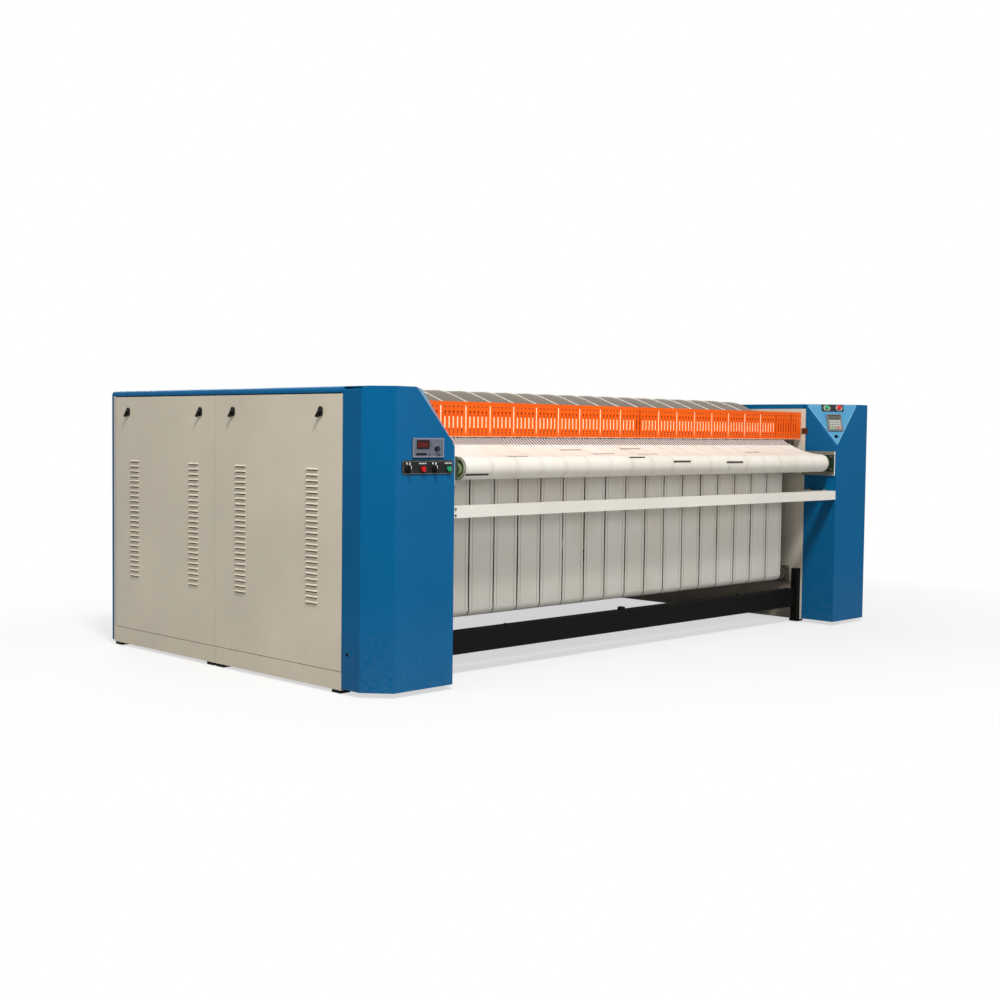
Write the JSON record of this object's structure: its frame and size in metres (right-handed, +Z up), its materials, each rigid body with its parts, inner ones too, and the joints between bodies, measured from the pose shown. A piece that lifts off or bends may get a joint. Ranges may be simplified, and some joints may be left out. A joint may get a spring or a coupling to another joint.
{
  "type": "flatwork ironer",
  "caption": "Heated-drum flatwork ironer: feed belts, slotted finger guard, cords over the drums and tall end housings with louvred doors and controls.",
  "frame": {"origin": "centre of the footprint on the floor", "axes": "+X to the right along the drums, +Y to the back, +Z up; the feed side with the controls faces -Y"},
  "size_m": [4.106, 2.215, 1.3694],
  "materials": {
    "housing_blue": "satin powder coat",
    "wall_beige": "satin powder coat",
    "door_beige": "satin powder coat",
    "foot_rubber": "matte",
    "bearing_green": "painted casting",
    "plate_grey": "satin",
    "belt_cream": "needle felt and woven belt",
    "cord_white": "braided cord",
    "bar_steel": "ground",
    "bar_white": "satin powder coat",
    "beam_black": "satin powder coat",
    "bolt_steel": "zinc plated",
    "switch_black": "matte",
    "panel_grey": "satin",
    "facet_blue": "satin film",
    "keypad_grey": "satin",
    "chain_steel": "oiled",
    "motor_grey": "painted casting",
    "union_steel": "painted casting",
    "drum_steel": "ground and polished",
    "guard_orange": "satin powder coat",
    "button_red": "gloss",
    "button_green": "gloss",
    "roller_steel": "turned",
    "latch_black": "matte"
  },
  "bodies": {
    "frame": {"front_column_left": "housing_blue", "front_column_right": "housing_blue", "top_covers": "housing_blue", "rear_covers": "housing_blue", "side_wall_left": "wall_beige", "side_wall_right": "wall_beige", "door_posts": "wall_beige", "plinths": "door_beige", "levelling_feet": "foot_rubber", "drum_bearings": "bearing_green", "roller_bearings": "bearing_green", "bearing_plates": "plate_grey", "feed_belts": "belt_cream", "curtain_belts": "belt_cream", "return_belts": "belt_cream", "drum_belts": "belt_cream", "guide_cords": "cord_white", "cord_bars": "bar_steel", "cross_bar": "bar_white", "bar_brackets": "bar_white", "base_beams": "beam_black", "beam_uprights": "beam_black", "fixing_bolts": "bolt_steel", "switch_plate": "switch_black", "speed_display": "panel_grey", "facet_plates": "facet_blue", "keypad": "keypad_grey", "drive_chain": "chain_steel", "gear_motor": "motor_grey", "rotary_unions": "union_steel"},
    "drum_1": {"drum_1": "drum_steel"},
    "drum_2": {"drum_2": "drum_steel"},
    "finger_guard": {"finger_guard": "guard_orange"},
    "motor_sprocket": {"motor_sprocket": "chain_steel"},
    "feed_selector": {"feed_selector": "switch_black"},
    "heat_selector": {"heat_selector": "switch_black"},
    "speed_knob": {"speed_knob": "switch_black"},
    "stop_button": {"stop_button": "button_red"},
    "start_button": {"start_button": "button_green"},
    "facet_red_button": {"facet_red_button": "button_red"},
    "facet_green_button": {"facet_green_button": "button_green"},
    "feed_roller": {"feed_roller": "roller_steel"},
    "nip_roller": {"nip_roller": "roller_steel"},
    "belt_guide_roller": {"belt_guide_roller": "roller_steel"},
    "middle_roller": {"middle_roller": "roller_steel"},
    "rear_upper_roller": {"rear_upper_roller": "roller_steel"},
    "rear_lower_roller": {"rear_lower_roller": "roller_steel"},
    "front_lower_roller": {"front_lower_roller": "roller_steel"},
    "front_door_left": {"front_door_left": "door_beige"},
    "front_door_right": {"front_door_right": "door_beige"},
    "rear_door_left": {"rear_door_left": "door_beige"},
    "rear_door_right": {"rear_door_right": "door_beige"},
    "front_door_front_latch_left": {"front_door_front_latch_left": "latch_black"},
    "front_door_front_latch_right": {"front_door_front_latch_right": "latch_black"},
    "front_door_rear_latch_left": {"front_door_rear_latch_left": "latch_black"},
    "front_door_rear_latch_right": {"front_door_rear_latch_right": "latch_black"},
    "rear_door_front_latch_left": {"rear_door_front_latch_left": "latch_black"},
    "rear_door_front_latch_right": {"rear_door_front_latch_right": "latch_black"},
    "rear_door_rear_latch_left": {"rear_door_rear_latch_left": "latch_black"},
    "rear_door_rear_latch_right": {"rear_door_rear_latch_right": "latch_black"}
  },
  "joints": [
    {"name": "drum_1_spin", "type": "hinge", "parent": "frame", "child": "drum_1", "pos_m": [0, -0.3095, 0.965], "axis": [1, 0, 0], "continuous": true},
    {"name": "drum_2_spin", "type": "hinge", "parent": "frame", "child": "drum_2", "pos_m": [0, 0.6655, 0.965], "axis": [1, 0, 0], "continuous": true},
    {"name": "feed_roller_spin", "type": "hinge", "parent": "frame", "child": "feed_roller", "pos_m": [0, -1.0265, 0.991], "axis": [1, 0, 0], "continuous": true},
    {"name": "nip_roller_spin", "type": "hinge", "parent": "frame", "child": "nip_roller", "pos_m": [0, -0.7345, 1.094], "axis": [1, 0, 0], "continuous": true},
    {"name": "belt_guide_roller_spin", "type": "hinge", "parent": "frame", "child": "belt_guide_roller", "pos_m": [0, -0.7845, 0.985], "axis": [1, 0, 0], "continuous": true},
    {"name": "middle_roller_spin", "type": "hinge", "parent": "frame", "child": "middle_roller", "pos_m": [0, 0.178, 1.25], "axis": [1, 0, 0], "continuous": true},
    {"name": "rear_upper_roller_spin", "type": "hinge", "parent": "frame", "child": "rear_upper_roller", "pos_m": [0, 1.0315, 1.236], "axis": [1, 0, 0], "continuous": true},
    {"name": "rear_lower_roller_spin", "type": "hinge", "parent": "frame", "child": "rear_lower_roller", "pos_m": [0, 1.0315, 0.294], "axis": [1, 0, 0], "continuous": true},
    {"name": "front_lower_roller_spin", "type": "hinge", "parent": "frame", "child": "front_lower_roller", "pos_m": [0, -0.7175, 0.294], "axis": [1, 0, 0], "continuous": true},
    {"name": "motor_sprocket_spin", "type": "hinge", "parent": "frame", "child": "motor_sprocket", "pos_m": [1.72, 0.1775, 0.43], "axis": [1, 0, 0], "continuous": true},
    {"name": "guard_tilt", "type": "hinge", "parent": "frame", "child": "finger_guard", "pos_m": [0, -0.8225, 1.172], "axis": [1, 0, 0], "range_deg": [0, 10], "stiffness_Nm_per_rad": 40, "springref_deg": -3.44},
    {"name": "front_door_left_tilt", "type": "hinge", "parent": "frame", "child": "front_door_left", "pos_m": [-2.035, -0.35375, 0.0986], "axis": [0, -1, 0], "range_deg": [0, 25]},
    {"name": "front_door_right_tilt", "type": "hinge", "parent": "frame", "child": "front_door_right", "pos_m": [2.035, -0.35375, 0.0986], "axis": [0, 1, 0], "range_deg": [0, 25]},
    {"name": "rear_door_left_tilt", "type": "hinge", "parent": "frame", "child": "rear_door_left", "pos_m": [-2.035, 0.602, 0.0986], "axis": [0, -1, 0], "range_deg": [0, 25]},
    {"name": "rear_door_right_tilt", "type": "hinge", "parent": "frame", "child": "rear_door_right", "pos_m": [2.035, 0.602, 0.0986], "axis": [0, 1, 0], "range_deg": [0, 25]},
    {"name": "front_door_front_latch_left_turn", "type": "hinge", "parent": "front_door_left", "child": "front_door_front_latch_left", "pos_m": [-2.035, -0.69175, 1.24], "axis": [-1, 0, 0], "range_deg": [0, 90]},
    {"name": "front_door_front_latch_right_turn", "type": "hinge", "parent": "front_door_right", "child": "front_door_front_latch_right", "pos_m": [2.035, -0.69175, 1.24], "axis": [1, 0, 0], "range_deg": [0, 90]},
    {"name": "front_door_rear_latch_left_turn", "type": "hinge", "parent": "front_door_left", "child": "front_door_rear_latch_left", "pos_m": [-2.035, -0.01575, 1.24], "axis": [-1, 0, 0], "range_deg": [0, 90]},
    {"name": "front_door_rear_latch_right_turn", "type": "hinge", "parent": "front_door_right", "child": "front_door_rear_latch_right", "pos_m": [2.035, -0.01575, 1.24], "axis": [1, 0, 0], "range_deg": [0, 90]},
    {"name": "rear_door_front_latch_left_turn", "type": "hinge", "parent": "rear_door_left", "child": "rear_door_front_latch_left", "pos_m": [-2.035, 0.264, 1.24], "axis": [-1, 0, 0], "range_deg": [0, 90]},
    {"name": "rear_door_front_latch_right_turn", "type": "hinge", "parent": "rear_door_right", "child": "rear_door_front_latch_right", "pos_m": [2.035, 0.264, 1.24], "axis": [1, 0, 0], "range_deg": [0, 90]},
    {"name": "rear_door_rear_latch_left_turn", "type": "hinge", "parent": "rear_door_left", "child": "rear_door_rear_latch_left", "pos_m": [-2.035, 0.94, 1.24], "axis": [-1, 0, 0], "range_deg": [0, 90]},
    {"name": "rear_door_rear_latch_right_turn", "type": "hinge", "parent": "rear_door_right", "child": "rear_door_rear_latch_right", "pos_m": [2.035, 0.94, 1.24], "axis": [1, 0, 0], "range_deg": [0, 90]},
    {"name": "feed_selector_turn", "type": "hinge", "parent": "frame", "child": "feed_selector", "pos_m": [-1.866, -1.0845, 0.992], "axis": [0, -1, 0], "range_deg": [-45, 45]},
    {"name": "heat_selector_turn", "type": "hinge", "parent": "frame", "child": "heat_selector", "pos_m": [-1.714, -1.0845, 0.992], "axis": [0, -1, 0], "range_deg": [-45, 45]},
    {"name": "speed_knob_turn", "type": "hinge", "parent": "frame", "child": "speed_knob", "pos_m": [-1.707, -1.0845, 1.081], "axis": [0, -1, 0], "range_deg": [-150, 150]},
    {"name": "stop_button_press", "type": "slide", "parent": "frame", "child": "stop_button", "axis": [0, 1, 0], "range_m": [0, 0.004], "stiffness_N_per_m": 600, "springref_m": -0.002},
    {"name": "start_button_press", "type": "slide", "parent": "frame", "child": "start_button", "axis": [0, 1, 0], "range_m": [0, 0.004], "stiffness_N_per_m": 600, "springref_m": -0.002},
    {"name": "facet_red_button_press", "type": "slide", "parent": "frame", "child": "facet_red_button", "axis": [0.5874, 0.6096, -0.5324], "range_m": [0, 0.004], "stiffness_N_per_m": 600, "springref_m": -0.002},
    {"name": "facet_green_button_press", "type": "slide", "parent": "frame", "child": "facet_green_button", "axis": [0.5874, 0.6096, -0.5324], "range_m": [0, 0.004], "stiffness_N_per_m": 600, "springref_m": -0.002}
  ],
  "couplings": [
    {"joint": "drum_2_spin", "follows": "drum_1_spin", "ratio": 1},
    {"joint": "feed_roller_spin", "follows": "drum_1_spin", "ratio": -7.8959},
    {"joint": "nip_roller_spin", "follows": "drum_1_spin", "ratio": -10.604},
    {"joint": "belt_guide_roller_spin", "follows": "drum_1_spin", "ratio": 12.599},
    {"joint": "middle_roller_spin", "follows": "drum_1_spin", "ratio": -7.7437},
    {"joint": "rear_upper_roller_spin", "follows": "drum_1_spin", "ratio": -8.951},
    {"joint": "rear_lower_roller_spin", "follows": "drum_1_spin", "ratio": -8.951},
    {"joint": "front_lower_roller_spin", "follows": "drum_1_spin", "ratio": -11.516},
    {"joint": "motor_sprocket_spin", "follows": "drum_1_spin", "ratio": 3}
  ]
}
